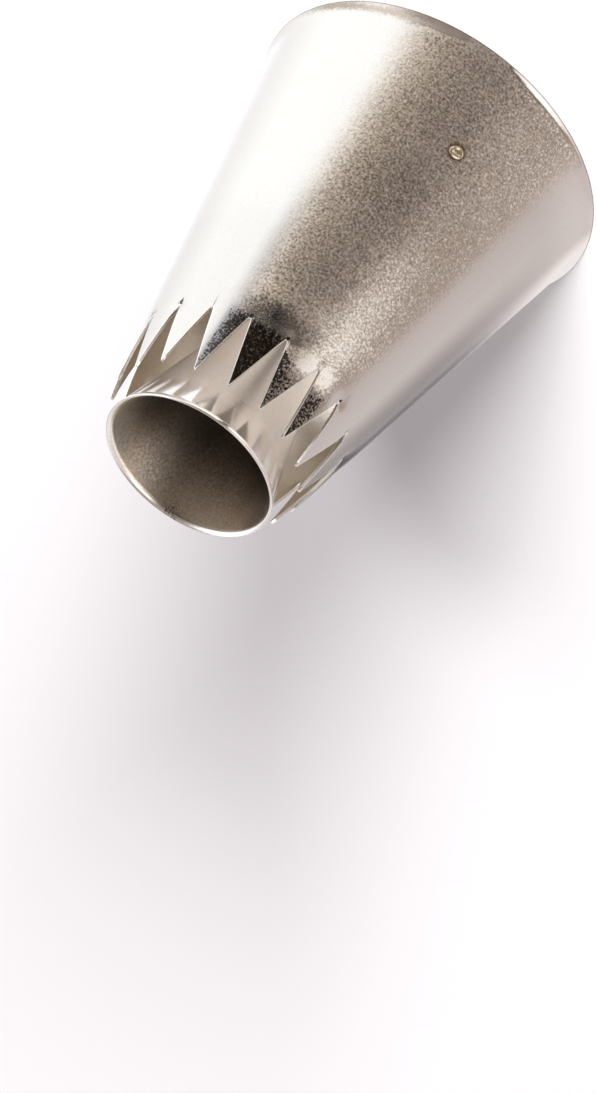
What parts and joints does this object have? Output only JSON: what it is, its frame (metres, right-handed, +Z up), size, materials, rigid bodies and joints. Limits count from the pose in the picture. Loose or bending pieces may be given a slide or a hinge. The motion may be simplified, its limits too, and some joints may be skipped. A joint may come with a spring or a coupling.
{
  "type": "piping nozzle",
  "caption": "Double-cone piping nozzle: a toothed outer cone round a hollow inner cone on a welded strap, for piping pleated rings.",
  "frame": {"origin": "centre of the base rim, in the plane that the nozzle stands on", "axes": "+Z runs up the common axis of the cones, from the wide base to the teeth; the strap lies along Y"},
  "size_m": [0.051, 0.051, 0.0645],
  "materials": {
    "satin_steel": "satin, fine blasted grain",
    "polished_steel": "polished outside, satin inside",
    "strap_steel": "rolled strip",
    "weld_steel": "weld metal with a straw heat tint"
  },
  "bodies": {
    "root": {"outer_cone": "satin_steel", "inner_cone": "polished_steel", "bridge_strap": "strap_steel", "wall_weld_near": "weld_steel", "wall_weld_far": "weld_steel", "tip_weld": "weld_steel"}
  },
  "joints": []
}
